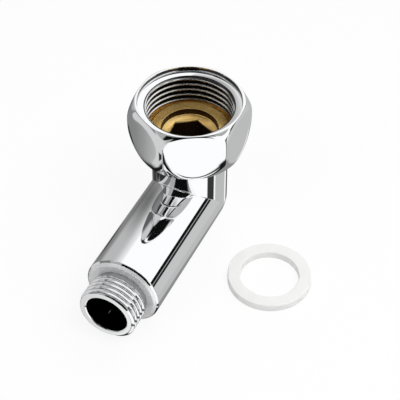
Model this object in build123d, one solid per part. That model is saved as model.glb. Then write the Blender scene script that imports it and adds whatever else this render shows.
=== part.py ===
"""Towel rail angle connector: right-angle body, domed hexagon union nut, retaining bush and gasket.

All sizes are millimetres. The shapes are drawn about the point where the two tube axes cross, and are then
lowered so that the row's origin is the centre of the gasket seat on the bush. +Z runs along the union axis,
out of the nut's mouth, and the outlet points along -Y. G1 and G1/2 are ISO 228 pipe threads: the male thread
is left as its major cylinder and the female thread as its minor cylinder.
"""
import math
import os

from build123d import *

# ISO 228 thread radii
G1_MINOR = 30.291 / 2
G1_MAJOR = 33.249 / 2
G_HALF_MAJOR = 20.955 / 2
G_HALF_MINOR = 18.631 / 2

# clearances between the pieces
SCREW_CLEARANCE = 0.05
SWIVEL_CLEARANCE = 0.06
SWIVEL_PLAY = 0.3
PASS_CLEARANCE = 0.55
GASKET_CLEARANCE = 0.145

# right-angle tube
TUBE_RADIUS = 13.6
BORE_RADIUS = 7.65
NECK_LENGTH = 23.9
NECK_EDGE = 0.4
TAPPED_DEPTH = 11.9

# outlet end, measured along the barrel from the union axis
BARREL_LENGTH = 54.5
BARREL_CHAMFER = 1.35
MALE_LENGTH = 11.0
MALE_CHAMFER = 0.65
RELIEF_DEPTH = 0.1
RELIEF_WIDTH = 1.4

# retaining bush
SHANK_RADIUS = 10.4
SHANK_LENGTH = 10.9
SHANK_CHAMFER = 0.8
JOURNAL_RADIUS = 12.0
FLANGE_THICK = 3.0
FLANGE_BEVEL = 0.9
COUNTERBORE_RADIUS = 10.1
COUNTERBORE_DEPTH = 2.4
KEY_FLATS = 14.0
KEY_CONE = 0.9
KEY_TURN = -5.3

# union nut
NUT_FLATS = 38.4
NUT_HEIGHT = 19.5
DOME_RADIUS = 22.25
DOME_WAIST = 12.2
FOOT_OUTER = 19.0
COLLAR_THICK = 3.7
UNDERCUT_DEPTH = 0.08
RIM_OUTER = 19.15
RIM_INNER = 18.3
MOUTH_STEP_RADIUS = 18.2
MOUTH_STEP_DEPTH = 1.8
MOUTH_RADIUS = 16.0
MOUTH_DEPTH = 2.1
LEAD_IN = 0.5
THREAD_LIFT = 0.2

# flat gasket, shown taken out and lying beside the barrel
GASKET_HOLE = 10.5
GASKET_THICK = 3.0
GASKET_GAP = 10.4
GASKET_ALONG = 16.0

# where each piece seats, from the values above
NUT_BOTTOM = NECK_LENGTH + SWIVEL_PLAY
NUT_FLOOR = NUT_BOTTOM + COLLAR_THICK
NUT_RIM = NUT_BOTTOM + NUT_HEIGHT
NUT_WAIST = NUT_BOTTOM + DOME_WAIST
FLANGE_UNDERSIDE = NUT_FLOOR + SWIVEL_PLAY
SEAT = FLANGE_UNDERSIDE + FLANGE_THICK
FLANGE_RADIUS = G1_MINOR - PASS_CLEARANCE
GASKET_RADIUS = G1_MINOR - GASKET_CLEARANCE
MALE_END = BARREL_LENGTH + MALE_LENGTH

MITRE = Plane(origin=(0, 0, 0), x_dir=(1, 0, 0), z_dir=(0, 1, 1))
ALONG_OUTLET = Rotation(90, 0, 0)
SHARE_45 = math.sqrt(0.5)


def path(*points: tuple[float, float]) -> list[Edge]:
    """Straight edges through (radius, height) points on the XZ plane."""
    spots = [(r, 0, z) for r, z in points]
    return [Line(a, b) for a, b in zip(spots, spots[1:])]


def arc(*points: tuple[float, float]) -> Edge:
    """Circular arc through three (radius, height) points on the XZ plane."""
    return ThreePointArc(*[(r, 0, z) for r, z in points])


def turned(*edges: Edge) -> Part:
    """Solid of revolution about Z from a closed outline on the XZ plane."""
    return revolve(make_face(Curve() + list(edges)), Axis.Z)


def ball_end(radius: float) -> Edge:
    """Quarter circle that closes a tube of this radius with a ball about the origin."""
    return arc((0, -radius), (SHARE_45 * radius, -SHARE_45 * radius), (radius, 0))


def elbow(neck: Part, outlet: Part) -> Part:
    """Join an upright and an outlet shape, each with the same ball end, on the mitre plane."""
    upper = split(neck, bisect_by=MITRE, keep=Keep.TOP)
    lower = split(ALONG_OUTLET * outlet, bisect_by=MITRE, keep=Keep.BOTTOM)
    return upper + lower


def hexagon(flats: float, turn: float) -> Sketch:
    """Regular hexagon by its width across flats, with one flat facing the angle turn."""
    return Rotation(0, 0, turn + 30) * RegularPolygon(flats / math.sqrt(3), 6)


def plain_tube(radius: float, length: float) -> Part:
    """Solid rod with a ball end, used for the water ways."""
    return turned(ball_end(radius), *path((radius, 0), (radius, length), (0, length), (0, -radius)))


def make_neck() -> Part:
    """Upright half of the body, up to the face that the bush seats on."""
    r = TUBE_RADIUS
    low_edge = NECK_LENGTH - NECK_EDGE
    return turned(
        ball_end(r),
        *path((r, 0), (r, low_edge), (r - NECK_EDGE, NECK_LENGTH), (0, NECK_LENGTH), (0, -r)),
    )


def make_outlet() -> Part:
    """Outlet half of the body: barrel, chamfered shoulder, thread relief and male end."""
    r = TUBE_RADIUS
    relief = G_HALF_MINOR - RELIEF_DEPTH
    thread_start = BARREL_LENGTH + RELIEF_WIDTH
    return turned(
        ball_end(r),
        *path(
            (r, 0),
            (r, BARREL_LENGTH - BARREL_CHAMFER),
            (r - BARREL_CHAMFER, BARREL_LENGTH),
            (relief, BARREL_LENGTH),
            (relief, thread_start),
            (G_HALF_MAJOR, thread_start + G_HALF_MAJOR - relief),
            (G_HALF_MAJOR, MALE_END - MALE_CHAMFER),
            (G_HALF_MAJOR - MALE_CHAMFER, MALE_END),
            (0, MALE_END),
            (0, -r),
        ),
    )


def make_angle_body() -> Part:
    """Right-angle tube with a ball corner, a tapped neck and a male outlet."""
    water_way = elbow(plain_tube(BORE_RADIUS, NECK_LENGTH), plain_tube(BORE_RADIUS, MALE_END + 1))
    tap = Cylinder(SHANK_RADIUS + SCREW_CLEARANCE, TAPPED_DEPTH, align=(Align.CENTER, Align.CENTER, Align.MAX))
    return elbow(make_neck(), make_outlet()) - water_way - Pos(0, 0, NECK_LENGTH) * tap


def make_retaining_bush() -> Part:
    """Hollow flanged screw that holds the nut's collar and carries the gasket seat."""
    shank_end = NECK_LENGTH - SHANK_LENGTH
    counter_floor = SEAT - COUNTERBORE_DEPTH
    key_mouth = counter_floor - KEY_CONE
    solid = turned(
        *path(
            (0, shank_end),
            (SHANK_RADIUS - SHANK_CHAMFER, shank_end),
            (SHANK_RADIUS, shank_end + SHANK_CHAMFER),
            (SHANK_RADIUS, NECK_LENGTH),
            (JOURNAL_RADIUS, NECK_LENGTH),
            (JOURNAL_RADIUS, FLANGE_UNDERSIDE),
            (FLANGE_RADIUS, FLANGE_UNDERSIDE),
            (FLANGE_RADIUS, SEAT - FLANGE_BEVEL),
            (FLANGE_RADIUS - FLANGE_BEVEL, SEAT),
            (COUNTERBORE_RADIUS, SEAT),
            (COUNTERBORE_RADIUS, counter_floor),
            (KEY_FLATS / 2, key_mouth),
            (0, key_mouth),
            (0, shank_end),
        )
    )
    key = extrude(hexagon(KEY_FLATS, KEY_TURN), SEAT - shank_end)
    return solid - Pos(0, 0, shank_end) * key


def dome_arc(edge_radius: float, edge_z: float) -> Edge:
    """Arc from the dome's waist, where it runs straight up, to an edge circle above or below it."""
    rise = edge_z - NUT_WAIST
    run = DOME_RADIUS - edge_radius
    radius = (rise**2 + run**2) / (2 * run)
    half = math.asin(rise / radius) / 2
    middle = (DOME_RADIUS - radius * (1 - math.cos(half)), NUT_WAIST + radius * math.sin(half))
    return arc((DOME_RADIUS, NUT_WAIST), middle, (edge_radius, edge_z))


def make_nut_blank() -> Part:
    """Domed turning cut by a hexagon prism, before it is bored."""
    dome = turned(
        *path((RIM_OUTER, NUT_RIM), (0, NUT_RIM), (0, NUT_BOTTOM), (FOOT_OUTER, NUT_BOTTOM)),
        dome_arc(FOOT_OUTER, NUT_BOTTOM),
        dome_arc(RIM_OUTER, NUT_RIM),
    )
    prism = Pos(0, 0, NUT_BOTTOM) * extrude(hexagon(NUT_FLATS, 0), NUT_HEIGHT)
    return dome & prism


def make_union_nut() -> Part:
    """Domed hexagon nut with a bored mouth, the G1 minor bore, a thread undercut and a turning collar."""
    undercut = G1_MAJOR + UNDERCUT_DEPTH
    thread_end = SEAT + THREAD_LIFT
    collar_bore = JOURNAL_RADIUS + SWIVEL_CLEARANCE
    inside = turned(
        *path(
            (0, NUT_BOTTOM),
            (collar_bore, NUT_BOTTOM),
            (collar_bore, NUT_FLOOR),
            (undercut, NUT_FLOOR),
            (undercut, thread_end - undercut + G1_MINOR),
            (G1_MINOR, thread_end),
            (G1_MINOR, NUT_RIM - MOUTH_DEPTH - LEAD_IN),
            (MOUTH_RADIUS, NUT_RIM - MOUTH_DEPTH),
            (MOUTH_STEP_RADIUS, NUT_RIM - MOUTH_STEP_DEPTH),
            (RIM_INNER, NUT_RIM),
            (0, NUT_RIM),
            (0, NUT_BOTTOM),
        )
    )
    return make_nut_blank() - inside


def make_gasket() -> Part:
    """Flat ring that goes on the bush's seat, lying level with the underside of the barrel."""
    ring = extrude(Circle(GASKET_RADIUS) - Circle(GASKET_HOLE), GASKET_THICK)
    return Pos(TUBE_RADIUS + GASKET_GAP + GASKET_RADIUS, -GASKET_ALONG, -TUBE_RADIUS) * ring


os.makedirs("parts", exist_ok=True)
NODES = {
    "angle_body": make_angle_body(),
    "union_nut": make_union_nut(),
    "retaining_bush": make_retaining_bush(),
    "gasket": make_gasket(),
}
for name, shape in NODES.items():
    placed = Pos(0, 0, -SEAT) * shape
    export_step(placed, f"parts/{name}.step")
    box = placed.bounding_box()
    print(name, len(placed.solids()), round(placed.volume, 1), box.min, box.max)
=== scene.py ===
"""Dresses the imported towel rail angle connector: chrome body and nut, brass bush, white gasket.

Sizes are millimetres about the point where the two tube axes cross, with the outlet along the second axis
and the union along the third. A lattice turns the second axis round, moves the origin to the gasket seat on
the bush and goes to metres when it becomes a mesh.
"""

import logging
import math
from collections.abc import Callable
from dataclasses import dataclass, field
from enum import IntEnum

import bpy
import numpy as np
from mathutils import Matrix, Vector


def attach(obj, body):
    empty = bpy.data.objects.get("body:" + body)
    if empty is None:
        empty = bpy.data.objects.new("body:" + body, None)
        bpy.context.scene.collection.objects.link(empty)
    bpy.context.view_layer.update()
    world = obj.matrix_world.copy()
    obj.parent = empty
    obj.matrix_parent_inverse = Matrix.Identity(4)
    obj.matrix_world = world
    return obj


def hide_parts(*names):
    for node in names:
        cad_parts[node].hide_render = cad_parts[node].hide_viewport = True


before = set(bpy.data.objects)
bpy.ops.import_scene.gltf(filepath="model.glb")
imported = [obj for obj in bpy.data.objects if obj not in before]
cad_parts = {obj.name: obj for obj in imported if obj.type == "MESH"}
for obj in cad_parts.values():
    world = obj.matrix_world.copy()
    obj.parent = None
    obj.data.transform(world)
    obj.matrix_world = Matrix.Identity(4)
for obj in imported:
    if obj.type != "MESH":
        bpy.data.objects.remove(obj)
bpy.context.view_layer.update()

log = logging.getLogger("angle_connector")

Material = bpy.types.Material
Node = bpy.types.Node
Socket = bpy.types.NodeSocket
Tree = bpy.types.NodeTree
Colour = tuple[float, float, float, float]
Spot = tuple[float, float, float]
Point = tuple[float, float]
Values = float | np.ndarray
Number = float | Socket
Rounding = float | tuple[float, ...]
About = Callable[[Values, Values, np.ndarray], np.ndarray]

MM = 0.001
TAU = 2 * math.pi
SEAT_RISE = 31.2
CAMERA_AZIMUTH = 24.72

# least gap between one block of rows and the next along a straight
LAP = 0.05

# distance from an arc to the point that holds the straight beside it, and the largest share of that
# straight that the distance may be
HOLD = 0.12
HOLD_SHARE = 0.3

CHROME = (0.93, 0.935, 0.945, 1.0)
WHITE = (1.0, 1.0, 1.0, 1.0)

# share of the handling mask over which a film goes from thin to thick
FILM = (0.35, 0.95)


class Zone(IntEnum):
    """Which of its piece's materials a face wears."""

    PLATED = 0
    BARE = 1
    MACHINED = 2


@dataclass(frozen=True)
class PipeThread:
    """ISO 228 pipe thread of Whitworth form.

    The radius swings between minor and major along a right-hand helix. The form has 55 degree flanks, joined
    by crest and root arcs of 0.137 pitch.
    """

    major: float
    minor: float
    pitch: float
    lean: float = math.radians(27.5)
    nose_share: float = 0.137329
    depth_share: float = 0.640327
    crowd: float = 0.55
    level_ends: float = 12.0

    def radius(self, angle: np.ndarray, along: np.ndarray) -> np.ndarray:
        """Thread radius at an angle about the axis and a place along it.

        Args:
            angle: Angles in radians, rising the way a right-hand helix turns as it moves along.
            along: Places along the axis, in millimetres.

        Returns:
            Radii, in millimetres, of the shape that the two arrays broadcast to.
        """
        nose = self.nose_share * self.pitch
        depth = self.depth_share * self.pitch
        turn = along / self.pitch - angle / TAU
        from_crest = np.abs((turn + 0.5) % 1.0 - 0.5) * self.pitch
        from_root = self.pitch / 2 - from_crest
        crest = depth - nose + np.sqrt(np.maximum(nose**2 - from_crest**2, 0.0))
        root = nose - np.sqrt(np.maximum(nose**2 - from_root**2, 0.0))
        flank = depth / 2 + (self.pitch / 4 - from_crest) / math.tan(self.lean)
        edge = nose * math.cos(self.lean)
        height = np.where(from_crest < edge, crest, np.where(from_root < edge, root, flank))
        return self.minor + (self.major - self.minor) * height / depth

    def rows(self, angle: np.ndarray, first: float, last: float, count: int) -> np.ndarray:
        """Places along the axis, one row of them per step, that crowd at the crests and roots.

        An even run is moved by a sine of twice the thread's phase. The sine fades out at both ends, so that
        the end rows stay level.

        Args:
            angle: Column angles.
            first: Place of the first row.
            last: Place of the last row.
            count: Number of rows.

        Returns:
            Array of (rows, columns).
        """
        share = np.linspace(0.0, 1.0, count)[:, None]
        even = first + (last - first) * share
        fade = np.clip(self.level_ends * np.minimum(share, 1 - share), 0.0, 1.0)
        phase = even / self.pitch - angle / TAU
        return even - fade * self.crowd * self.pitch / (2 * TAU) * np.sin(2 * TAU * phase)


G1 = PipeThread(major=33.249 / 2, minor=30.291 / 2, pitch=2.309)
G_HALF = PipeThread(major=20.955 / 2, minor=18.631 / 2, pitch=1.814)


def eased(count: int) -> np.ndarray:
    """Shares from 0 to 1 that crowd towards both ends, as half a cosine wave does."""
    return 0.5 - 0.5 * np.cos(np.linspace(0.0, math.pi, count))


def between(first: Values, last: Values, shares: np.ndarray | tuple[float, ...]) -> np.ndarray:
    """Rows that go from first to last, one row for each share."""
    return first + (last - first) * np.asarray(shares)[:, None]


def even_angles(count: int) -> np.ndarray:
    """Even angles round a circle, half a step off the square positions."""
    return (np.arange(count) + 0.5) * TAU / count


def crowded_angles(count: int, turn: float, crowd: float) -> np.ndarray:
    """Angles round a circle that crowd towards the six corners of a hexagon whose flat faces turn."""
    even = even_angles(count)
    return turn + even + crowd / 6 * np.sin(6 * even)


def rounded_run(corners: list[Point], rounding: Rounding, steps: int = 5) -> np.ndarray:
    """Open run of straight pieces whose inner corners are arcs.

    Each arc is centre + slerp(a, b), where a and b point from the arc's centre to its two tangent points. A
    holding point on the straight each side of the arc keeps the shading of the straight true.

    Args:
        corners: (radius, place) points, the first and last of which stay as they are.
        rounding: Arc radius of the inner corners, one for all or one each.
        steps: Points on each arc.

    Returns:
        Array of (radius, place) rows.
    """
    points = np.asarray(corners, dtype=float)
    rho = np.broadcast_to(np.asarray(rounding, dtype=float), (len(points) - 2,))
    spans = np.diff(points, axis=0)
    lengths = np.linalg.norm(spans, axis=1)
    ways = spans / lengths[:, None]
    back, on = -ways[:-1], ways[1:]
    half = 0.5 * np.arccos(np.clip((back * on).sum(axis=1), -1.0, 1.0))
    reach = rho / np.tan(half)
    middle = back + on
    middle /= np.linalg.norm(middle, axis=1)[:, None]
    centre = points[1:-1] + middle * (rho / np.sin(half))[:, None]
    first = points[1:-1] + back * reach[:, None]
    last = points[1:-1] + on * reach[:, None]
    sweep = math.pi - 2 * half
    share = np.linspace(0.0, 1.0, steps)
    weight_a = np.sin(np.outer(sweep, 1 - share)) / np.sin(sweep)[:, None]
    weight_b = np.sin(np.outer(sweep, share)) / np.sin(sweep)[:, None]
    arcs = centre[:, None] + weight_a[..., None] * (first - centre)[:, None]
    arcs += weight_b[..., None] * (last - centre)[:, None]
    used = np.zeros(len(lengths))
    used[:-1] += reach
    used[1:] += reach
    held = np.minimum(HOLD, HOLD_SHARE * (lengths - used))
    before = first + back * held[:-1, None]
    after = last + on * held[1:, None]
    block = np.concatenate([before[:, None], arcs, after[:, None]], axis=1).reshape(-1, 2)
    return np.vstack([points[:1], block, points[-1:]])


def hexagon_radius(angle: np.ndarray, flats: float, corner: float, turn: float) -> np.ndarray:
    """Radius of a regular hexagon with rounded corners.

    On a flat it is the apothem over the cosine of the angle from the flat's middle. Near a corner it is the
    ray's far crossing of the corner circle.

    Args:
        angle: Angles about the axis, in radians.
        flats: Width across flats.
        corner: Radius of the corner circles.
        turn: Angle of one flat's middle, in radians.

    Returns:
        Radii of the shape of angle.
    """
    sector = math.pi / 3
    local = np.abs((angle - turn + sector / 2) % sector - sector / 2)
    apothem = flats / 2
    reach = (apothem - corner) / math.cos(sector / 2)
    off = sector / 2 - local
    tangent = math.atan((apothem - corner) * math.tan(sector / 2) / apothem)
    on_arc = reach * np.cos(off) + np.sqrt(np.maximum(corner**2 - (reach * np.sin(off)) ** 2, 0.0))
    return np.where(local > tangent, on_arc, apothem / np.cos(np.minimum(local, tangent)))


def soft_least(a: np.ndarray, b: np.ndarray, blend: np.ndarray) -> np.ndarray:
    """Smaller of two surfaces, less a parabola where they lie within blend of each other."""
    near = np.maximum(blend - np.abs(a - b), 0.0)
    return np.minimum(a, b) - near**2 / (4 * blend)


def about_union(radius: Values, height: Values, angle: np.ndarray) -> np.ndarray:
    """Points at radius and height about the union axis: (r sin t, r cos t, h)."""
    radius, height, angle = np.broadcast_arrays(radius, height, angle)
    return np.stack([radius * np.sin(angle), radius * np.cos(angle), height], axis=-1)


def about_outlet(radius: Values, along: Values, angle: np.ndarray) -> np.ndarray:
    """Points at radius and place along the outlet axis: (r sin t, s, r cos t)."""
    radius, along, angle = np.broadcast_arrays(radius, along, angle)
    return np.stack([radius * np.sin(angle), along, radius * np.cos(angle)], axis=-1)


@dataclass
class Lattice:
    """Closed lattice of points: rows run round the piece's section and columns round its axis."""

    name: str
    angles: np.ndarray
    blocks: list[np.ndarray] = field(default_factory=list)
    zones: list[np.ndarray] = field(default_factory=list)

    def add(self, points: np.ndarray, zone: Zone = Zone.PLATED) -> None:
        """Append rows of points, an array of (rows, columns, 3), that all lie in one zone."""
        self.blocks.append(points)
        self.zones.append(np.full(points.shape[0], int(zone)))

    def add_rows(self, about: About, radius: Values, place: Values, zone: Zone = Zone.PLATED) -> None:
        """Append rows at radii and places about an axis."""
        self.add(about(radius, place, self.angles), zone)

    def add_run(
        self,
        about: About,
        corners: list[Point],
        rounding: Rounding,
        zone: Zone = Zone.PLATED,
        steps: int = 5,
    ) -> None:
        """Append the rows of a rounded run, carried about an axis."""
        run = rounded_run(corners, rounding, steps)
        self.add_rows(about, run[:, :1], run[:, 1:], zone)

    def to_object(self, materials: list[Material]) -> bpy.types.Object:
        """Turn the lattice into a closed smooth mesh.

        Each quad joins two neighbour rows and two neighbour columns, and both wrap round. The quads are
        turned to face outwards, which the sign of the enclosed volume shows.

        Args:
            materials: Materials in the order of Zone.

        Returns:
            The new object, linked to the scene, with its place in its mesh.
        """
        points = np.concatenate(self.blocks)
        rows, count, _ = points.shape
        row, column = np.meshgrid(np.arange(rows) * count, np.arange(count), indexing="ij")
        next_row, next_column = np.roll(row, -1, axis=0), np.roll(column, -1, axis=1)
        corners = (row + column, row + next_column, next_row + next_column, next_row + column)
        quads = np.stack(corners, axis=-1).reshape(-1, 4)
        across, along, height = np.moveaxis(points, -1, 0)
        place = np.stack([across, -along, height - SEAT_RISE], axis=-1).reshape(-1, 3) * MM
        a, b, c, d = (place[quads[:, k]] for k in range(4))
        volume = (np.cross(a, b) * c).sum() + (np.cross(a, c) * d).sum()
        if volume < 0:
            quads = quads[:, ::-1]
        mesh = bpy.data.meshes.new(self.name)
        mesh.from_pydata(place.tolist(), [], quads.tolist())
        mesh.polygons.foreach_set("material_index", np.repeat(np.concatenate(self.zones), count))
        mesh.polygons.foreach_set("use_smooth", np.ones(len(quads), dtype=bool))
        for material in materials:
            mesh.materials.append(material)
        mesh.validate()
        mesh.update()
        piece = bpy.data.objects.new(self.name, mesh)
        bpy.context.scene.collection.objects.link(piece)
        return piece


@dataclass
class AngleBody:
    """Chrome right-angle tube: ball corner, sharp inner crease, chamfered shoulder and G1/2 male end."""

    tube: float = 13.6
    crease: float = 0.45
    neck: float = 23.9
    neck_round: float = 0.4
    neck_run: float = 1.0
    barrel: float = 54.5
    chamfer: float = 1.35
    polish: float = 0.5
    edge_round: float = 0.35
    shoulder_rounds: tuple[float, float] = (0.3, 0.2)
    male_length: float = 11.0
    male_chamfer: float = 0.65
    relief: float = G_HALF.minor - 0.1
    relief_width: float = 1.4
    bore: float = 7.65
    bore_crease: float = 0.2
    mouth_bevel: float = 0.35
    mouth_round: float = 0.15
    mouth_run: float = 2.0
    tapped: float = 10.45
    tapped_floor: float = 12.0
    tapped_round: float = 0.1
    floor_run: float = 0.2
    face_shares: tuple[float, ...] = (0.04, 0.5, 0.96)
    skin_rows: tuple[int, int, int] = (12, 15, 20)
    way_rows: tuple[int, int, int] = (10, 11, 5)
    thread_rows: int = 128
    columns: int = 256

    def bend(self, radius: float, round_in: float, rows: int) -> np.ndarray:
        """Rows that carry a tube of one radius round the corner.

        n turns from the neck's normal (sin t, cos t, 0) to the outlet's (sin t, 0, cos t) by slerp. On the
        outer half the point is radius times n, a ball. On the inner half it is centre - round_in times n,
        where the centre lies at radius + round_in from both axes, which fillets the crease.

        Args:
            radius: Tube radius.
            round_in: Fillet radius of the crease.
            rows: Rows from the neck to the outlet.

        Returns:
            Array of (rows, columns, 3).
        """
        t = even_angles(self.columns)
        zero = np.zeros_like(t)
        up = np.stack([np.sin(t), np.cos(t), zero], axis=-1)
        out = np.stack([np.sin(t), zero, np.cos(t)], axis=-1)
        gap = np.arccos(np.clip(np.sin(t) ** 2, -1.0, 1.0))
        share = np.linspace(0.0, 1.0, rows)[:, None]
        weight_up = np.sin((1 - share) * gap) / np.sin(gap)
        weight_out = np.sin(share * gap) / np.sin(gap)
        normal = weight_up[..., None] * up + weight_out[..., None] * out
        far = radius + round_in
        centre = np.stack([far * np.sin(t), far * np.cos(t), far * np.cos(t)], axis=-1)
        inner = centre[None] - round_in * normal
        return np.where(np.cos(t)[None, :, None] > 0, inner, radius * normal)

    def straight_start(self, radius: float, round_in: float) -> np.ndarray:
        """Distance from the other axis at which each column's straight begins, a lap past the bend."""
        return (radius + round_in) * np.maximum(np.cos(even_angles(self.columns)), 0.0) + LAP

    def male_radius(self, angle: np.ndarray, along: np.ndarray) -> np.ndarray:
        """Male thread, cut back by the relief's cone at one end and the chamfer's at the other.

        Args:
            angle: Column angles.
            along: Places along the outlet.

        Returns:
            Radii of the shape of along.
        """
        cut_in = self.relief + (along - self.barrel - self.relief_width)
        chamfer_start = self.barrel + self.male_length - self.male_chamfer
        cut_end = G_HALF.major - np.maximum(along - chamfer_start, 0.0)
        return np.minimum(np.minimum(G_HALF.radius(-angle, along), cut_in), cut_end)

    def add_skin(self, lattice: Lattice) -> None:
        """Add the skin: neck, bend, barrel, shoulder and male thread.

        Args:
            lattice: The lattice, empty so far.
        """
        neck_rows, bend_rows, barrel_rows = self.skin_rows
        neck_low = self.neck - self.neck_run
        top = [(self.tapped, self.neck), (self.tube, self.neck), (self.tube, neck_low)]
        lattice.add_run(about_union, top, self.neck_round)
        start = self.straight_start(self.tube, self.crease)
        lattice.add_rows(about_union, self.tube, between(neck_low - 6 * LAP, start, eased(neck_rows)))
        lattice.add(self.bend(self.tube, self.crease, bend_rows))
        corner = self.barrel - self.chamfer
        lattice.add_rows(about_outlet, self.tube, between(start, corner - self.polish, eased(barrel_rows)))
        edge_end = (self.tube - self.polish, corner + self.polish)
        edge = [(self.tube, corner - self.polish + LAP), (self.tube, corner), edge_end]
        lattice.add_run(about_outlet, edge, self.edge_round)
        thread_start = self.barrel + self.relief_width
        shoulder = [
            (edge_end[0] - LAP, edge_end[1] + LAP),
            (self.tube - self.chamfer, self.barrel),
            (self.relief, self.barrel),
            (self.relief, thread_start - LAP),
        ]
        lattice.add_run(about_outlet, shoulder, self.shoulder_rounds, Zone.MACHINED)
        t = lattice.angles
        along = G_HALF.rows(-t, thread_start, self.barrel + self.male_length, self.thread_rows)
        lattice.add_rows(about_outlet, self.male_radius(t, along), along, Zone.MACHINED)

    def add_water_way(self, lattice: Lattice) -> None:
        """Add the way back from the male end's face to the tapped neck.

        Args:
            lattice: The lattice, which ends at the male thread's last row.
        """
        bore_rows, bend_rows, well_rows = self.way_rows
        t = lattice.angles
        end = self.barrel + self.male_length
        rim = self.bore + self.mouth_bevel
        face = between(self.male_radius(t, np.full_like(t, end)), rim, self.face_shares)
        lattice.add_rows(about_outlet, face, end)
        mouth = [(rim, end), (self.bore, end - self.mouth_bevel), (self.bore, end - self.mouth_run)]
        lattice.add_run(about_outlet, mouth, self.mouth_round, steps=3)
        start = self.straight_start(self.bore, self.bore_crease)
        bore_end = end - self.mouth_run - 2 * LAP
        lattice.add_rows(about_outlet, self.bore, between(bore_end, start, eased(bore_rows)))
        lattice.add(self.bend(self.bore, self.bore_crease, bend_rows)[::-1])
        floor = self.tapped_floor
        below = floor - self.floor_run
        well = between(start, below - 2 * LAP, eased(well_rows))
        lattice.add_rows(about_union, self.bore, well, Zone.BARE)
        tap_end = (self.tapped, self.neck - 2 * LAP)
        step = [(self.bore, below), (self.bore, floor), (self.tapped, floor), tap_end]
        lattice.add_run(about_union, step, self.tapped_round, Zone.BARE, 3)

    def build(self, plated: Material, bare: Material, satin: Material) -> bpy.types.Object:
        """Build the tube as one closed lattice, out along the skin and back through the water way.

        Args:
            plated: Finish of the skin and the outlet's bore.
            bare: Finish of the tapped neck.
            satin: Finish of the shoulder and the threaded end.

        Returns:
            The piece.
        """
        lattice = Lattice("angle_body_plated", even_angles(self.columns))
        self.add_skin(lattice)
        self.add_water_way(lattice)
        return lattice.to_object([plated, bare, satin])


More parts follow.
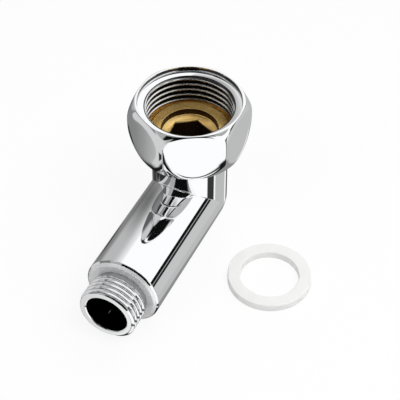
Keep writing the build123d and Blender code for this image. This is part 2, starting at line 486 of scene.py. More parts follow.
@dataclass
class UnionNut:
    """Chrome domed hexagon nut with a countersunk mouth, a G1 thread and a bare brass floor."""

    flats: float = 38.4
    corner: float = 0.7
    dome: float = 22.25
    waist: float = 36.4
    bottom: float = 24.2
    rim: float = 43.7
    foot_outer: float = 19.0
    foot_curl: tuple[float, float] = (0.45, 0.3)
    rim_outer: float = 19.15
    rim_inner: float = 18.3
    lip_round: float = 0.6
    lip_land: float = 0.12
    lip_edge: float = 0.1
    edge_blend: tuple[float, float, float] = (0.5, 1.4, 1.6)
    blend_rise: float = 6.0
    flat_clear: tuple[float, float] = (0.3, 0.2)
    step: tuple[float, float] = (18.2, 1.8)
    step_round: float = 0.25
    wall_draft: float = 0.02
    wall_ends: tuple[float, float] = (0.3, 0.4)
    mouth: tuple[float, float] = (16.0, 2.1)
    lead_slope: float = 1.7
    thread_turn: float = 0.4
    thread_run_in: float = 0.4
    thread_end: float = 31.4
    skin_rows: tuple[int, int, int, int] = (16, 26, 14, 10)
    thread_rows: int = 130
    undercut: float = G1.major + 0.08
    floor: float = 27.9
    floor_rounds: tuple[float, float] = (0.3, 0.2)
    collar: float = 12.06
    collar_bevel: float = 0.15
    underside_shares: tuple[float, ...] = (0.0, 0.02, 0.5, 0.94)
    curl_shares: tuple[float, ...] = (0.15, 1.3 / 3, 2.15 / 3, 1.0)
    columns: int = 360
    corner_crowd: float = 0.6

    def arc(self, edge_radius: float, edge_height: float) -> Point:
        """Arc of the dome from its waist, where it runs straight up, to an edge circle.

        Args:
            edge_radius: Radius of the edge circle.
            edge_height: Height of the edge circle.

        Returns:
            The arc's radius, and its centre's distance from the axis.
        """
        rise = edge_height - self.waist
        run = self.dome - edge_radius
        radius = (rise**2 + run**2) / (2 * run)
        return radius, self.dome - radius

    def dome_radius(self, height: np.ndarray) -> np.ndarray:
        """Radius of the turned dome: centre offset + sqrt(arc radius squared - rise from the waist squared).

        Args:
            height: Heights along the union axis.

        Returns:
            Radii of the shape of height.
        """
        low, low_off = self.arc(self.foot_outer, self.bottom)
        top, top_off = self.arc(self.rim_outer, self.rim)
        off = height - self.waist
        below = low_off + np.sqrt(np.maximum(low**2 - off**2, 0.0))
        above = top_off + np.sqrt(np.maximum(top**2 - off**2, 0.0))
        return np.where(off < 0, below, above)

    def flat_span(self, hexagon: np.ndarray) -> tuple[np.ndarray, np.ndarray]:
        """Heights between which the hexagon lies inside the dome.

        Args:
            hexagon: The hexagon's radius at each column.

        Returns:
            Lower and upper height at each column.
        """
        least = 0.01
        low, low_off = self.arc(self.foot_outer, self.bottom)
        top, top_off = self.arc(self.rim_outer, self.rim)
        under = self.waist - np.sqrt(np.maximum(low**2 - (hexagon - low_off) ** 2, least))
        over = self.waist + np.sqrt(np.maximum(top**2 - (hexagon - top_off) ** 2, least))
        return under, over

    def skin(self, t: np.ndarray) -> tuple[np.ndarray, np.ndarray]:
        """Outer skin from the foot over the rim's rounding to the lip.

        The radius is the soft least of the dome and the hexagon. Rows follow the curves where the two cross,
        so the edges of the flats lie along rows. The rounding is an arc inside the dome's arc that touches
        it and the level of the rim.

        Args:
            t: Column angles.

        Returns:
            Radii and heights, arrays of (rows, columns).
        """
        low_rows, flat_rows, top_rows, lip_rows = self.skin_rows
        hexagon = hexagon_radius(t, self.flats, self.corner, math.pi / 2)
        under, over = self.flat_span(hexagon)
        top, top_off = self.arc(self.rim_outer, self.rim)
        slope = math.asin((self.rim - self.lip_round - self.waist) / (top - self.lip_round))
        low = np.full_like(t, self.bottom + self.foot_curl[1] + LAP)
        high = np.full_like(t, self.waist + top * math.sin(slope))
        under = np.maximum(under, low + self.flat_clear[0])
        over = np.minimum(over, high - self.flat_clear[1])
        below = between(low, under, eased(low_rows)[:-1])
        flat = between(under, over, eased(flat_rows)[:-1])
        above = between(over, high, eased(top_rows))
        height = np.concatenate([below, flat, above])
        dome = self.dome_radius(height)
        tilt = np.linspace(slope, math.pi / 2, lip_rows)[1:, None] + np.zeros_like(t)
        lip = top_off + (top - self.lip_round) * math.cos(slope)
        height = np.concatenate([height, self.rim - self.lip_round * (1 - np.sin(tilt))])
        dome = np.concatenate([dome, lip + self.lip_round * np.cos(tilt)])
        blend = np.interp(height, [self.bottom, self.bottom + self.blend_rise, self.rim], self.edge_blend)
        return soft_least(dome, hexagon, blend), height

    def thread_radius(self, t: np.ndarray, height: np.ndarray) -> np.ndarray:
        """Female thread, opened by the mouth's cone above and the undercut's cone below.

        Args:
            t: Column angles.
            height: Heights along the union axis.

        Returns:
            Radii of the shape of height.
        """
        mouth_radius, mouth_depth = self.mouth
        drop = self.rim - mouth_depth - height
        run_in = np.clip(drop / (self.thread_run_in * G1.pitch), 0.0, 1.0)
        thread = G1.minor + (G1.radius(t, height - self.thread_turn * G1.pitch) - G1.minor) * run_in
        lead = mouth_radius - drop * self.lead_slope
        leave = G1.minor + (self.thread_end - height)
        return np.minimum(np.maximum(np.maximum(thread, lead), leave), self.undercut)

    def add_outside(self, lattice: Lattice) -> None:
        """Add the underside, the foot's curl and the skin.

        Args:
            lattice: The lattice, empty so far.
        """
        radius, height = self.skin(lattice.angles)
        curl_run, curl_rise = self.foot_curl
        foot = radius[0] - curl_run - LAP
        underside = between(self.collar + self.collar_bevel, foot, self.underside_shares)
        lattice.add_rows(about_union, underside, self.bottom)
        curl = between(0.0, math.pi / 2, self.curl_shares)
        curl_height = self.bottom + curl_rise * (1 - np.cos(curl))
        lattice.add_rows(about_union, foot + curl_run * np.sin(curl), curl_height)
        lattice.add_rows(about_union, radius, height)

    def add_inside(self, lattice: Lattice) -> None:
        """Add the lip, the stepped mouth, the thread, the floor and the collar's bore.

        Args:
            lattice: The lattice, which ends at the skin's last row.
        """
        t = lattice.angles
        step_radius, step_depth = self.step
        mouth_radius, mouth_depth = self.mouth
        wall_top = (self.rim_inner - self.wall_draft, self.rim - self.wall_ends[0])
        lip = [(self.rim_inner + self.lip_land, self.rim), (self.rim_inner, self.rim), wall_top]
        lattice.add_run(about_union, lip, self.lip_edge)
        # the wall between the lip and the ledge is the strip after the lip's last row
        # it wears the groove plating, whose painted shade makes this wall near black
        lattice.zones[-1][-1] = Zone.MACHINED
        step_height = self.rim - step_depth
        mouth_height = self.rim - mouth_depth
        wall_foot = (step_radius + self.wall_draft, step_height + self.wall_ends[1])
        ledge = [wall_foot, (step_radius, step_height), (mouth_radius, mouth_height)]
        lattice.add_run(about_union, ledge, self.step_round)
        thread_low = self.thread_end - self.undercut + G1.minor
        height = G1.rows(t, mouth_height - self.wall_draft, thread_low, self.thread_rows)
        lattice.add_rows(about_union, self.thread_radius(t, height), height, Zone.MACHINED)
        floor = [
            (self.undercut, thread_low - 2 * LAP),
            (self.undercut, self.floor),
            (self.collar, self.floor),
            (self.collar, self.bottom + self.collar_bevel),
        ]
        lattice.add_run(about_union, floor, self.floor_rounds, Zone.BARE)

    def build(self, plated: Material, bare: Material, grooved: Material) -> bpy.types.Object:
        """Build the nut as one closed lattice, up over the skin and down through the mouth.

        Args:
            plated: Finish of the skin and mouth.
            bare: Finish of the floor and collar inside.
            grooved: Finish of the thread and the mouth's wall.

        Returns:
            The piece.
        """
        angles = crowded_angles(self.columns, math.pi / 2, self.corner_crowd)
        lattice = Lattice("union_nut_plated", angles)
        self.add_outside(lattice)
        self.add_inside(lattice)
        return lattice.to_object([plated, bare, grooved])


@dataclass
class RetainingBush:
    """Turned brass bush: screwed shank, journal, flange with the gasket seat, counterbore and key socket."""

    neck: float = AngleBody.neck
    shank: float = 10.4
    shank_end: float = 13.0
    shank_chamfer: float = 0.8
    journal: float = 12.0
    flange: float = G1.minor - 0.55
    underside: float = 28.2
    bevel: float = 0.9
    counterbore: float = 10.1
    counter_depth: float = 2.4
    key_flats: float = 14.0
    key_corner: float = 0.25
    key_cone: float = 0.9
    key_edge: float = 0.12
    key_bevel: float = 0.15
    key_turn: float = math.radians(95.3)
    socket: float = 8.6
    socket_shares: tuple[float, ...] = (0.0, 0.03, 0.3, 0.6, 0.97, 1.0)
    rounds: tuple[float, ...] = (0.1, 0.1, 0.05, 0.05, 0.1, 0.15, 0.2, 0.2, 0.15, 0.25)
    columns: int = 240
    corner_crowd: float = 0.55

    def build(self, turned: Material) -> bpy.types.Object:
        """Build the bush as one closed lattice, out over the skin and back down the hexagon socket.

        Args:
            turned: Finish of the whole bush.

        Returns:
            The piece.
        """
        t = crowded_angles(self.columns, self.key_turn, self.corner_crowd)
        key = hexagon_radius(t, self.key_flats, self.key_corner, self.key_turn)
        counter_floor = SEAT_RISE - self.counter_depth
        slope = self.key_cone / (self.counterbore - self.key_flats / 2)
        mouth = counter_floor - slope * (self.counterbore - self.socket)
        lattice = Lattice("retaining_bush_turned", t)
        lattice.add_run(
            about_union,
            [
                (self.socket + LAP, self.shank_end),
                (self.shank - self.shank_chamfer, self.shank_end),
                (self.shank, self.shank_end + self.shank_chamfer),
                (self.shank, self.neck),
                (self.journal, self.neck),
                (self.journal, self.underside),
                (self.flange, self.underside),
                (self.flange, SEAT_RISE - self.bevel),
                (self.flange - self.bevel, SEAT_RISE),
                (self.counterbore, SEAT_RISE),
                (self.counterbore, counter_floor),
                (self.socket, mouth),
            ],
            self.rounds,
        )
        edge = (key + self.key_edge)[None]
        lattice.add_rows(about_union, edge, mouth - slope * (self.socket - edge))
        low = mouth - slope * (self.socket - key) - self.key_bevel
        socket = between(low, self.shank_end + self.key_bevel, self.socket_shares)
        lattice.add_rows(about_union, key[None], socket)
        lattice.add_rows(about_union, (key + self.key_bevel)[None], self.shank_end)
        return lattice.to_object([turned])


@dataclass
class Gasket:
    """Flat moulded ring, lying on the floor beside the barrel."""

    outer: float = 15.0
    hole: float = 10.5
    thick: float = 3.0
    parting: Point = (0.06, 0.12)
    rounds: tuple[float, ...] = (0.25, 0.3, 0.05, 0.04, 0.05, 0.35, 0.3)
    wave: float = 0.02
    wave_turn: float = 0.6
    aside: float = 39.0005
    along: float = 16.0
    floor: float = -AngleBody.tube
    columns: int = 192

    def build(self, moulded: Material) -> bpy.types.Object:
        """Build the ring as one closed lattice.

        The section is a rectangle with rounded edges and a faint parting line round its outer wall. The top
        face waves by a few hundredths of a millimetre, as a soft moulding does.

        Args:
            moulded: Finish of the ring.

        Returns:
            The piece.
        """
        t = even_angles(self.columns)
        middle = self.thick / 2
        top = self.thick - self.wave
        proud, spread = self.parting
        wall = self.outer - proud
        run = rounded_run(
            [
                (self.hole, middle),
                (self.hole, 0.0),
                (wall, 0.0),
                (wall, middle - spread),
                (self.outer, middle),
                (wall, middle + spread),
                (wall, top),
                (self.hole, top),
                (self.hole, middle + 2 * LAP),
            ],
            self.rounds,
        )
        radius, height = run[:, :1], run[:, 1:]
        ripple = self.wave * np.sin(2 * t + self.wave_turn) * np.sin(3 * t) * height / self.thick
        points = about_union(radius, height + ripple, t)
        points += np.array([self.aside, self.along, self.floor])
        lattice = Lattice("gasket_moulded", t)
        lattice.add(points)
        return lattice.to_object([moulded])


class NodeSheet:
    """Short hand for building one node tree."""

    def __init__(self, tree: Tree) -> None:
        """Start on an existing tree."""
        self.tree = tree

    def feed(self, node: Node, inputs: dict[str | int, object]) -> None:
        """Set or link inputs of a node.

        Args:
            node: The node.
            inputs: Input names or places, each with a value or an output socket.
        """
        for key, value in inputs.items():
            if isinstance(value, Socket):
                self.tree.links.new(value, node.inputs[key])
            else:
                node.inputs[key].default_value = value

    def add(self, kind: str, inputs: dict[str | int, object] | None = None, **settings: object) -> Node:
        """Add a node, set its properties, and set or link its inputs.

        Args:
            kind: Node type.
            inputs: Input names or places, each with a value or an output socket.
            settings: Node properties.

        Returns:
            The node.
        """
        node = self.tree.nodes.new(kind)
        for key, value in settings.items():
            setattr(node, key, value)
        self.feed(node, inputs or {})
        return node

    def math(self, operation: str, *values: object) -> Socket:
        """Add a Math node and return its output."""
        return self.add("ShaderNodeMath", dict(enumerate(values)), operation=operation).outputs[0]

    def vector(self, operation: str, *values: object) -> Socket:
        """Add a Vector Math node and return its one live output, a vector or a number."""
        node = self.add("ShaderNodeVectorMath", dict(enumerate(values)), operation=operation)
        return next(socket for socket in node.outputs if socket.enabled)

    def place(self) -> Socket:
        """Object coordinates."""
        return self.add("ShaderNodeTexCoord").outputs["Object"]

    def part(self, vector: Socket, axis: int) -> Socket:
        """One part of a vector, 0 to 2."""
        return self.add("ShaderNodeSeparateXYZ", {0: vector}).outputs[axis]

    def noise(self, vector: Socket, scale: Number, detail: float, roughness: float = 0.5) -> Socket:
        """Add a Noise Texture node and return its value."""
        inputs = {"Vector": vector, "Scale": scale, "Detail": detail, "Roughness": roughness}
        return self.add("ShaderNodeTexNoise", inputs).outputs[0]

    def ramp(
        self,
        given: Socket,
        first: Number,
        last: Number,
        low: float = 0.0,
        high: float = 1.0,
        smooth: bool = False,
    ) -> Socket:
        """Add a clamped Map Range node.

        Args:
            given: What is mapped.
            first: Value that gives low.
            last: Value that gives high.
            low: Result at first.
            high: Result at last.
            smooth: Whether the way between is a smooth step.

        Returns:
            The mapped value.
        """
        inputs = {"Value": given, "From Min": first, "From Max": last, "To Min": low, "To Max": high}
        kind = "SMOOTHSTEP" if smooth else "LINEAR"
        return self.add("ShaderNodeMapRange", inputs, interpolation_type=kind).outputs[0]

    def blend(self, share: Socket, under: Colour | Socket, over: Colour | Socket) -> Socket:
        """Mix two colours."""
        return self.add("ShaderNodeMix", {0: share, 6: under, 7: over}, data_type="RGBA").outputs[2]

    def blend_values(self, share: Socket, under: Number, over: Number) -> Socket:
        """Mix two numbers."""
        return self.add("ShaderNodeMix", {0: share, 2: under, 3: over}, data_type="FLOAT").outputs[0]

    def blend_shaders(self, share: Socket, under: Node, over: Node) -> Node:
        """Mix two shaders."""
        return self.add("ShaderNodeMixShader", {0: share, 1: under.outputs[0], 2: over.outputs[0]})

    def bump(self, height: Socket, strength: float, distance: float) -> Socket:
        """Add a Bump node and return its normal."""
        inputs = {"Height": height, "Strength": strength, "Distance": distance}
        return self.add("ShaderNodeBump", inputs).outputs[0]

    def ray(self, kind: str) -> Socket:
        """1 for the rays that a Light Path output names."""
        return self.add("ShaderNodeLightPath").outputs[kind]

    def marks(self, handling: Tree, place: Socket, scale: float, hairlines: float) -> Node:
        """Place the handling marks group."""
        inputs = {"Vector": place, "Scale": scale, "Hairlines": hairlines}
        return self.add("ShaderNodeGroup", inputs, node_tree=handling)

    def off_axis(self, place: Socket, across: Spot = (1.0, 1.0, 0.0)) -> Socket:
        """Distance of a place from an axis through the origin, which is the one that across leaves out."""
        return self.vector("LENGTH", self.vector("MULTIPLY", place, across))


def new_group(
    name: str, inputs: dict[str, object], outputs: list[str]
) -> tuple[NodeSheet, dict[str, Socket], Node]:
    """Start a shader node group.

    Args:
        name: Group name.
        inputs: Each input's name, with its default number, or None for a vector.
        outputs: Names of the outputs, which are numbers.

    Returns:
        The sheet, the given values by name, and the node that takes the outputs.
    """
    tree = bpy.data.node_groups.new(name, "ShaderNodeTree")
    for label, default in inputs.items():
        kind = "NodeSocketVector" if default is None else "NodeSocketFloat"
        socket = tree.interface.new_socket(label, in_out="INPUT", socket_type=kind)
        if default is not None:
            socket.default_value = default
    for label in outputs:
        tree.interface.new_socket(label, in_out="OUTPUT", socket_type="NodeSocketFloat")
    sheet = NodeSheet(tree)
    given = sheet.add("NodeGroupInput").outputs
    return sheet, {label: given[label] for label in inputs}, sheet.add("NodeGroupOutput")


def make_handling_group() -> Tree:
    """Faint handling marks: a soft cloud of wiped film and fine scattered hairlines.

    Returns:
        A group that puts out the marks as a mask and the cloud as a height.
    """
    inputs = {"Vector": None, "Scale": 60.0, "Hairlines": 0.3}
    sheet, given, put = new_group("handling_marks", inputs, ["Mask", "Height"])
    hair_scale = 420.0
    hair_band = (0.62, 0.75)
    cloud = sheet.noise(given["Vector"], given["Scale"], detail=3.0, roughness=0.55)
    drawn_out = {"Vector": given["Vector"], "Rotation": (0.5, 0.8, 0.3), "Scale": (9.0, 9.0, 0.6)}
    hair = sheet.noise(sheet.add("ShaderNodeMapping", drawn_out).outputs[0], hair_scale, detail=2.0)
    lined = sheet.math("MULTIPLY", sheet.ramp(hair, *hair_band), given["Hairlines"])
    sheet.feed(put, {"Mask": sheet.math("ADD", cloud, lined), "Height": cloud})
    return sheet.tree


def make_turning_group() -> Tree:
    """Lathe marks: rings about the union axis whose spacing wanders a little.

    The rings follow radius + 0.7 height, so that they show on level faces, cones and walls alike.

    Returns:
        A group that puts out the rings as a height and their uneven tone as a shade.
    """
    inputs = {"Vector": None, "Pitch": 0.0004, "Wander": 0.0002}
    sheet, given, put = new_group("turning_marks", inputs, ["Height", "Shade"])
    place = given["Vector"]
    height_share = 0.7
    drift_scale = 90.0
    tone_scale = 2600.0
    climb = sheet.math("MULTIPLY", sheet.part(place, 2), height_share)
    reach = sheet.math("ADD", sheet.off_axis(place), climb)
    drift = sheet.math("MULTIPLY", sheet.noise(place, drift_scale, detail=2.0), given["Wander"])
    turns = sheet.math("DIVIDE", sheet.math("ADD", reach, drift), given["Pitch"])
    height = sheet.math("SINE", sheet.math("MULTIPLY", turns, TAU))
    spread = sheet.add("ShaderNodeCombineXYZ", {0: sheet.math("MULTIPLY", reach, tone_scale)}).outputs[0]
    sheet.feed(put, {"Height": height, "Shade": sheet.noise(spread, 1.0, detail=3.0)})
    return sheet.tree


def new_material(name: str) -> tuple[Material, NodeSheet, Node]:
    """Start a material.

    Args:
        name: Material name.

    Returns:
        The material, its sheet and its Principled shader.
    """
    material = bpy.data.materials.new(name)
    material.use_nodes = True
    return material, NodeSheet(material.node_tree), material.node_tree.nodes["Principled BSDF"]


@dataclass(frozen=True)
class ChromePlate:
    """Polished chrome over brass: near-mirror, with a wiped film that roughens it a little."""

    tint: Colour = CHROME
    cloud: float = 70.0
    hairlines: float = 0.25
    smooth: float = 0.02
    filmed: float = 0.065
    ripple: float = 0.00002
    ripple_strength: float = 0.25

    def material(self, handling: Tree) -> Material:
        """Build the finish.

        Args:
            handling: The handling marks group.

        Returns:
            The material.
        """
        material, sheet, shader = new_material("chrome_plate")
        marks = sheet.marks(handling, sheet.place(), self.cloud, self.hairlines)
        film = sheet.ramp(marks.outputs["Mask"], *FILM, self.smooth, self.filmed)
        bump = sheet.bump(marks.outputs["Height"], self.ripple_strength, self.ripple)
        sheet.feed(shader, {"Base Color": self.tint, "Metallic": 1.0, "Roughness": film, "Normal": bump})
        return material


@dataclass(frozen=True)
class SatinPlate:
    """Chrome over machined brass at the outlet: satin on the shoulder, brighter on the thread, with painted
    shade in the thread's roots.
    """

    tint: Colour = CHROME
    # grey of the painted shade in the thread's roots and the relief, close to the outlet axis
    groove_shade: Colour = (0.38, 0.382, 0.39, 1.0)
    dark_to: float = (G_HALF.minor + 0.05) * MM
    bright_from: float = (G_HALF.minor + 0.5) * MM
    shoulder: float = 0.36
    shoulder_metal: float = 0.5
    shoulder_end: float = -(AngleBody.barrel + 1.2) * MM
    thread: float = 0.05
    thread_start: float = -(AngleBody.barrel + 1.8) * MM
    cloud: float = 120.0
    hairlines: float = 0.2
    uneven: float = 0.08

    def material(self, handling: Tree) -> Material:
        """Build the finish from the place along the outlet and the distance from its axis.

        Args:
            handling: The handling marks group.

        Returns:
            The material.
        """
        material, sheet, shader = new_material("satin_plate")
        place = sheet.place()
        centred = sheet.vector("ADD", place, (0.0, 0.0, SEAT_RISE * MM))
        off_axis = sheet.off_axis(centred, (1.0, 0.0, 1.0))
        # painted shade: darker close to the outlet axis, in the thread's roots and the relief
        crest = sheet.ramp(off_axis, self.dark_to, self.bright_from, smooth=True)
        marks = sheet.marks(handling, place, self.cloud, self.hairlines)
        change = (sheet.part(place, 1), self.shoulder_end, self.thread_start)
        gloss = sheet.ramp(*change, self.shoulder, self.thread)
        film = sheet.math("MULTIPLY", marks.outputs["Mask"], self.uneven)
        sheet.feed(
            shader,
            {
                "Base Color": sheet.blend(crest, self.groove_shade, self.tint),
                "Metallic": sheet.ramp(*change, self.shoulder_metal, 1.0),
                "Roughness": sheet.math("ADD", gloss, film),
            },
        )
        return material


@dataclass(frozen=True)
class GroovePlate:
    """Plating inside the female thread: bright on the crests, with painted shade that turns it near black
    down in the grooves.
    """

    crest: Colour = CHROME
    # near-black colour of the painted shade in the grooves and on the mouth's wall
    groove_shade: Colour = (0.05, 0.05, 0.052, 1.0)
    bright_to: float = (G1.minor + 0.15) * MM
    dark_from: float = (G1.minor + 0.6) * MM
    cloud: float = 90.0
    hairlines: float = 0.1
    smooth: float = 0.1
    filmed: float = 0.25

    def material(self, handling: Tree) -> Material:
        """Build the finish from the distance from the union axis.

        Args:
            handling: The handling marks group.

        Returns:
            The material.
        """
        material, sheet, shader = new_material("groove_plate")
        place = sheet.place()
        marks = sheet.marks(handling, place, self.cloud, self.hairlines)
        # painted shade: darker further from the union axis, down in the grooves
        depth = sheet.ramp(sheet.off_axis(place), self.bright_to, self.dark_from, smooth=True)
        film = sheet.ramp(marks.outputs["Mask"], *FILM, self.smooth, self.filmed)
        colour = sheet.blend(depth, self.crest, self.groove_shade)
        sheet.feed(shader, {"Base Color": colour, "Metallic": 1.0, "Roughness": film})
        return material


@dataclass(frozen=True)
class TurnedBrass:
    """Unplated brass straight from the lathe, with tool rings and slightly uneven colour.

    Painted shade darkens the key socket and the deeper bores below it, and the corner between the
    counterbore's wall and its floor.
    """

    bright: Colour = (1.0, 0.74, 0.30, 1.0)
    dull: Colour = (0.95, 0.58, 0.16, 1.0)
    # dark brown of the painted shade down the key socket and in the counterbore's corner
    painted_shade: Colour = (0.07, 0.035, 0.012, 1.0)
    metal: float = 0.78
    # where the painted shade lies: along the counterbore's wall, and below the given heights
    nook_radius: float = RetainingBush.counterbore * MM
    nook_reach: tuple[float, float] = (0.0001, 0.00003)
    dark_from: float = -(RetainingBush.counter_depth + RetainingBush.key_cone + 0.1) * MM
    dark_full: float = -(RetainingBush.counter_depth + RetainingBush.key_cone + 0.4) * MM
    ring_pitch: float = 0.00032
    ring_wander: float = 0.00015
    ring_depth: float = 0.00002
    ring_strength: float = 0.35
    ring_share: float = 0.7
    cloud: float = 110.0
    hairlines: float = 0.1
    cloud_share: float = 0.4
    tone: tuple[float, float] = (0.42, 0.66)
    gloss: tuple[float, float, float, float] = (0.3, 0.7, 0.12, 0.2)

    def material(self, handling: Tree, turning: Tree) -> Material:
        """Build the finish.

        Args:
            handling: The handling marks group.
            turning: The lathe marks group.

        Returns:
            The material.
        """
        material, sheet, shader = new_material("turned_brass")
        place = sheet.place()
        spacing = {"Vector": place, "Pitch": self.ring_pitch, "Wander": self.ring_wander}
        rings = sheet.add("ShaderNodeGroup", spacing, node_tree=turning)
        marks = sheet.marks(handling, place, self.cloud, self.hairlines)
        ringed = sheet.math("MULTIPLY", rings.outputs["Shade"], self.ring_share)
        clouded = sheet.math("MULTIPLY", marks.outputs["Mask"], self.cloud_share)
        tone = sheet.ramp(sheet.math("ADD", ringed, clouded), *self.tone)
        # painted shade: darker below the counterbore's floor and along the corner at its wall
        deep = sheet.ramp(sheet.part(place, 2), self.dark_from, self.dark_full)
        off_wall = sheet.math("ABSOLUTE", sheet.math("SUBTRACT", sheet.off_axis(place), self.nook_radius))
        dark = sheet.math("MAXIMUM", deep, sheet.ramp(off_wall, *self.nook_reach))
        sheet.feed(
            shader,
            {
                "Base Color": sheet.blend(dark, sheet.blend(tone, self.dull, self.bright), self.painted_shade),
                "Metallic": self.metal,
                "Roughness": sheet.ramp(rings.outputs["Shade"], *self.gloss),
                "Normal": sheet.bump(rings.outputs["Height"], self.ring_strength, self.ring_depth),
            },
        )
        return material


@dataclass(frozen=True)
class WhiteElastomer:
    """Soft white gasket rubber: matt, a little translucent, with mould bloom and a fine grain."""

    bloom: Colour = (0.84, 0.84, 0.82, 1.0)
    clean: Colour = (0.90, 0.90, 0.885, 1.0)
    cloud: float = 150.0
    hairlines: float = 0.05
    matt: tuple[float, float, float, float] = (0.3, 0.8, 0.5, 0.68)
    grain: float = 1800.0
    grain_depth: float = 0.00004
    grain_strength: float = 0.2

    def material(self, handling: Tree) -> Material:
        """Build the finish.

        Args:
            handling: The handling marks group.

        Returns:
            The material.
        """
        material, sheet, shader = new_material("white_elastomer")
        place = sheet.place()
        mask = sheet.marks(handling, place, self.cloud, self.hairlines).outputs["Mask"]
        grain = sheet.noise(place, self.grain, detail=2.0)
        sheet.feed(
            shader,
            {
                "Base Color": sheet.blend(mask, self.clean, self.bloom),
                "Roughness": sheet.ramp(mask, *self.matt),
                "Normal": sheet.bump(grain, self.grain_strength, self.grain_depth),
                "Specular IOR Level": 0.35,
                "Subsurface Weight": 0.25,
                "Subsurface Scale": 0.0015,
                "Subsurface Radius": (1.0, 1.0, 0.95),
            },
        )
        return material


def level_way(turn: float) -> Vector:
    """Level direction at an azimuth, in degrees to the right of the camera's."""
    azimuth = math.radians(turn + CAMERA_AZIMUTH)
    return Vector((math.sin(azimuth), -math.cos(azimuth), 0.0))


def lifted_way(turn: float, rise: float) -> Vector:
    """Direction at an azimuth, as level_way has it, and an elevation in degrees."""
    lift = math.radians(rise)
    return level_way(turn) * math.cos(lift) + Vector((0.0, 0.0, math.sin(lift)))


def right_of(front: Vector) -> Vector:
    """Level direction a quarter turn to the right of another, as seen from that side."""
    return Vector((-front.y, front.x, 0.0))


@dataclass(frozen=True)
class Card:
    """One panel of the studio round the part, known by direction alone.

    All angles are degrees. turn is the middle's azimuth to the right of the camera's, rise its elevation,
    half_turn and half_rise its half sizes, soft the width of its faded edge, and level its brightness.
    """

    turn: float
    rise: float
    half_turn: float
    half_rise: float
    soft: float
    level: float

    def inputs(self) -> dict[str, object]:
        """Values for the card group's inputs, with angles in radians."""
        front = level_way(self.turn)
        angles = (self.rise, self.half_turn, self.half_rise, self.soft)
        sizes = dict(zip(("Rise", "Half Turn", "Half Rise", "Soft"), map(math.radians, angles)))
        return sizes | {"Front": front, "Right": right_of(front), "Level": self.level}


def make_card_group() -> Tree:
    """Lay one soft-edged panel over another brightness, by azimuth and elevation in radians.

    Returns:
        A group that puts out the brightness.
    """
    ways = {"Direction": None, "Front": None, "Right": None}
    sizes = {"Rise": 0.0, "Half Turn": 0.5, "Half Rise": 0.5, "Soft": 0.1}
    sheet, given, put = new_group("studio_card", ways | sizes | {"Level": 1.0, "Under": 0.5}, ["Over"])

    def inside(angle: Socket, half: Socket) -> Socket:
        """1 within the panel's half size, fading to 0 over its soft edge."""
        far = sheet.math("ADD", half, given["Soft"])
        return sheet.ramp(sheet.math("ABSOLUTE", angle), half, far, 1.0, 0.0, smooth=True)

    right = sheet.vector("DOT_PRODUCT", given["Direction"], given["Right"])
    front = sheet.vector("DOT_PRODUCT", given["Direction"], given["Front"])
    turn = sheet.math("ARCTAN2", right, front)
    rise = sheet.math("SUBTRACT", sheet.math("ARCSINE", sheet.part(given["Direction"], 2)), given["Rise"])
    mask = sheet.math("MULTIPLY", inside(turn, given["Half Turn"]), inside(rise, given["Half Rise"]))
    sheet.feed(put, {"Over": sheet.blend_values(mask, given["Under"], given["Level"])})
    return sheet.tree


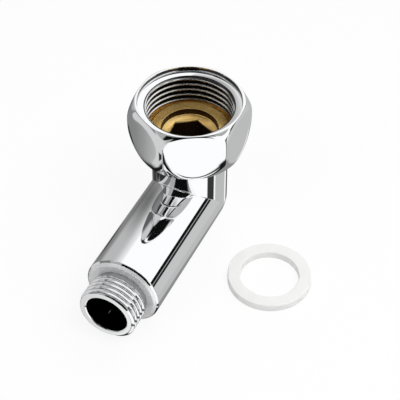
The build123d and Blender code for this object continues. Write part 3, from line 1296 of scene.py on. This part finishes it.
@dataclass(frozen=True)
class Room:
    """The world round the part: white to the camera, and cards on walls and ground to every other ray.

    Of two cards that overlap, the later lies over the earlier. The numbers of a card stand in the order of
    its fields.
    """

    wall_level: float = 0.42
    ground_level: float = 0.24
    horizon: float = 0.01
    walls: tuple[Card, ...] = (
        Card(-108, 34, 30, 18, 9, 0.65),
        Card(-116, 37, 20, 7, 5, 0.12),
        Card(-160, 20, 14, 24, 10, 0.5),
        Card(-174, 54, 4, 6, 24, 0.85),
        Card(152, 48, 31, 36, 7, 1.05),
        Card(106, 32, 18, 23, 2.5, 1.05),
        Card(59, 8, 29, 16, 3, 1.05),
        Card(-64, 4, 32, 10, 4, 0.66),
        Card(-95, 13, 19, 11, 5, 0.2),
        Card(2, 12, 18, 12, 5, 0.004),
        Card(-4, 37, 42, 14, 4, 0.004),
        Card(-27, 80, 102, 14, 3, 0.006),
        Card(-92, 64, 32, 6, 3, 0.01),
        Card(0, 58.5, 70, 4.5, 2, 1.05),
        Card(48, 48, 14, 5.5, 2, 0.004),
        Card(82, 50, 14, 8, 3, 1.05),
        Card(106, 5.3, 20, 3.3, 1, 0.006),
    )
    ground: tuple[Card, ...] = (
        Card(-63, -45, 48, 45, 2.5, 0.66),
        Card(-152, 0, 30, 3, 9, 0.42),
        Card(35, -45, 50, 45, 5, 1.05),
        Card(-32, -44, 9, 12, 4, 0.01),
        Card(134, -45, 46, 45, 5, 0.52),
        Card(110, -16, 16, 12, 10, 0.58),
        Card(68, -45, 10, 45, 4, 0.04),
        Card(0, -90, 180, 37, 5, 0.01),
        Card(-8, -70, 50, 11, 3, 0.92),
        Card(142, -66, 36, 14, 6, 0.28),
        Card(106, -3, 22, 2.5, 1, 0.01),
        Card(-137, -44.2, 13, 1.2, 1.5, 0.045),
        Card(140, -44.2, 4, 0.8, 1.5, 1),
        Card(158, -44.2, 7, 0.8, 1.5, 0.06),
        Card(-89, -44.2, 13, 1.2, 1.5, 0.03),
        Card(-56, -51, 5, 3, 2, 0.68),
        Card(-50.5, -50.5, 2.5, 4, 5, 0.9),
    )

    def build(self) -> None:
        """Build the world's nodes."""
        world = bpy.data.worlds.new("studio_room")
        bpy.context.scene.world = world
        world.use_nodes = True
        sheet = NodeSheet(world.node_tree)
        sheet.tree.nodes.clear()
        group = make_card_group()
        direction = sheet.add("ShaderNodeTexCoord").outputs["Generated"]

        def stacked(base: float, cards: tuple[Card, ...]) -> Number:
            """Brightness by direction of cards laid over one base level."""
            level: Number = base
            for card in cards:
                inputs = card.inputs() | {"Direction": direction, "Under": level}
                level = sheet.add("ShaderNodeGroup", inputs, node_tree=group).outputs["Over"]
            return level

        walls = stacked(self.wall_level, self.walls)
        ground = stacked(self.ground_level, self.ground)
        above = sheet.ramp(sheet.part(direction, 2), -self.horizon, self.horizon)
        level = sheet.blend_values(above, ground, walls)
        room = sheet.add("ShaderNodeBackground", {"Color": WHITE, "Strength": level})
        white = sheet.add("ShaderNodeBackground", {"Color": WHITE, "Strength": 1.0})
        mix = sheet.blend_shaders(sheet.ray("Is Camera Ray"), room, white)
        sheet.add("ShaderNodeOutputWorld", {"Surface": mix.outputs[0]})


def add_stage_face(name: str, outline: np.ndarray, material: Material) -> bpy.types.Object:
    """Add one flat face that belongs to the stage and not to the part.

    Args:
        name: Name of the object.
        outline: Corners in order, an array of (corners, 3).
        material: Its material.

    Returns:
        The object.
    """
    mesh = bpy.data.meshes.new(name)
    mesh.from_pydata(outline.tolist(), [], [list(range(len(outline)))])
    mesh.materials.append(material)
    face = bpy.data.objects.new(name, mesh)
    bpy.context.scene.collection.objects.link(face)
    return face


@dataclass(frozen=True)
class Floor:
    """Wide disc under the part: matt white that keeps shadows, lifted to white for the camera.

    Mirrored rays pass through it to the room's ground, apart from a soft dark spot.
    """

    height: float = -(SEAT_RISE + AngleBody.tube) * MM
    radius: float = 3.0
    corners: int = 96
    white: Colour = (0.92, 0.92, 0.92, 1.0)
    lift: float = 0.88
    shade_spot: Spot = (-0.0401, -0.0144, -0.0448)
    shade_reach: tuple[float, float] = (0.003, 0.013)
    shade_level: float = 0.02

    def build(self) -> None:
        """Lay the disc."""
        material, sheet, shader = new_material("floor_white")
        sheet.feed(shader, {"Base Color": self.white, "Roughness": 0.9, "Specular IOR Level": 0.1})
        white = sheet.add("ShaderNodeEmission", {"Color": WHITE, "Strength": 1.0})
        seen = sheet.math("MULTIPLY", sheet.ray("Is Camera Ray"), self.lift)
        lifted = sheet.blend_shaders(seen, shader, white)
        span = sheet.vector("DISTANCE", sheet.place(), self.shade_spot)
        shade = sheet.ramp(span, *self.shade_reach, 1.0, 0.0, smooth=True)
        dark = sheet.add("ShaderNodeEmission", {"Color": WHITE, "Strength": self.shade_level})
        mirrored = sheet.blend_shaders(shade, sheet.add("ShaderNodeBsdfTransparent"), dark)
        mix = sheet.blend_shaders(sheet.ray("Is Glossy Ray"), lifted, mirrored)
        sheet.feed(sheet.tree.nodes["Material Output"], {"Surface": mix.outputs[0]})
        t = np.arange(self.corners) * TAU / self.corners
        rim = [self.radius * np.cos(t), self.radius * np.sin(t), np.full_like(t, self.height)]
        add_stage_face("studio_floor", np.stack(rim, axis=-1), material)


@dataclass(frozen=True)
class Flag:
    """Soft black flag behind the barrel, tall and darkest in its middle, that only mirrored rays meet."""

    spot: Spot = (-0.0413, 0.0085, -0.012)
    facing: Spot = (0.76, -0.65, 0.0)
    reach: float = 0.02
    tallness: float = 2.0
    dark: float = 0.7
    black: Colour = (0.02, 0.02, 0.02, 1.0)

    def build(self) -> None:
        """Hang the flag."""
        material, sheet, shader = new_material("flag_black")
        sheet.feed(shader, {"Base Color": self.black, "Roughness": 0.9})
        off = sheet.vector("SUBTRACT", sheet.place(), self.spot)
        span = sheet.off_axis(off, (1.0, 1.0, 1.0 / self.tallness))
        shade = sheet.ramp(span, 0.0, self.reach, self.dark, 0.0, smooth=True)
        mix = sheet.blend_shaders(shade, sheet.add("ShaderNodeBsdfTransparent"), shader)
        sheet.feed(sheet.tree.nodes["Material Output"], {"Surface": mix.outputs[0]})
        upright = np.array([0.0, 0.0, self.tallness * self.reach])
        sideways = np.cross(self.facing, upright)
        sideways *= self.reach / np.linalg.norm(sideways)
        outline = [-sideways - upright, sideways - upright, sideways + upright, upright - sideways]
        flag = add_stage_face("studio_flag", np.array(outline) + self.spot, material)
        flag.visible_camera = False
        flag.visible_diffuse = False
        flag.visible_shadow = False


@dataclass(frozen=True)
class Lamp:
    """Soft square lamp that looks at the part, at angles given as a Card's are."""

    name: str
    turn: float
    rise: float
    distance: float
    size: float
    power: float

    def build(self) -> None:
        """Hang the lamp, out of sight of the metal."""
        data = bpy.data.lights.new(self.name, "AREA")
        data.size = self.size
        data.energy = self.power
        lamp = bpy.data.objects.new(self.name, data)
        back = lifted_way(self.turn, self.rise)
        lamp.location = back * self.distance
        lamp.rotation_mode = "QUATERNION"
        lamp.rotation_quaternion = back.to_track_quat("Z", "Y")
        lamp.visible_glossy = False
        bpy.context.scene.collection.objects.link(lamp)


@dataclass(frozen=True)
class PhotoCamera:
    """Camera where the photograph was taken from.

    focal and picture are pixels, distance and the offsets of the picture's middle from the tube axes'
    crossing are millimetres, and the angles are degrees.
    """

    focal: float = 1308.5
    picture: float = 400.0
    sensor: float = 36.0
    distance: float = 480.0
    off_right: float = -3.758
    off_up: float = 3.243
    elevation: float = 44.99
    roll: float = -0.44

    def build(self) -> None:
        """Stand the camera and make it the scene's."""
        back = lifted_way(0.0, self.elevation)
        level = right_of(level_way(0.0))
        upright = back.cross(level)
        roll = math.radians(self.roll)
        right = math.cos(roll) * level - math.sin(roll) * upright
        up = math.sin(roll) * level + math.cos(roll) * upright
        crossing = Vector((0.0, 0.0, -SEAT_RISE))
        data = bpy.data.cameras.new("photo_camera")
        data.sensor_width = self.sensor
        data.lens = self.focal * self.sensor / self.picture
        data.clip_start, data.clip_end = 0.01, 20.0
        camera = bpy.data.objects.new("photo_camera", data)
        camera.matrix_world = Matrix((right, up, back)).transposed().to_4x4()
        camera.location = (crossing - self.off_right * right - self.off_up * up + self.distance * back) * MM
        bpy.context.scene.collection.objects.link(camera)
        bpy.context.scene.camera = camera


def build_studio() -> None:
    """Build the stage: room, floor, flag, lamps and camera."""
    Room().build()
    Floor().build()
    Flag().build()
    Lamp("key_lamp", turn=45.0, rise=60.0, distance=0.8, size=0.4, power=3.0).build()
    Lamp("fill_lamp", turn=-45.0, rise=45.0, distance=0.9, size=0.5, power=1.5).build()
    PhotoCamera().build()
    bpy.context.scene.view_settings.view_transform = "Standard"


def place_piece(piece: bpy.types.Object, body: str, node: str) -> None:
    """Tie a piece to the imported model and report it.

    Args:
        piece: The piece.
        body: CAD body that it rides on.
        node: CAD node that it replaces.
    """
    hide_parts(node)
    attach(piece, body)
    log.info("%s: %d vertices, rides on %s", piece.name, len(piece.data.vertices), body)


def main() -> None:
    """Build the finishes, the four pieces and the studio."""
    logging.basicConfig(level=logging.INFO, format="%(name)s: %(message)s")
    handling = make_handling_group()
    turning = make_turning_group()
    chrome = ChromePlate().material(handling)
    satin = SatinPlate().material(handling)
    grooved = GroovePlate().material(handling)
    brass = TurnedBrass().material(handling, turning)
    elastomer = WhiteElastomer().material(handling)
    place_piece(AngleBody().build(chrome, brass, satin), "connector", "angle_body")
    place_piece(UnionNut().build(chrome, brass, grooved), "nut", "union_nut")
    place_piece(RetainingBush().build(brass), "connector", "retaining_bush")
    ring = Gasket().build(elastomer)
    ring.visible_glossy = False
    place_piece(ring, "connector", "gasket")
    build_studio()


if __name__ == "__main__":
    main()
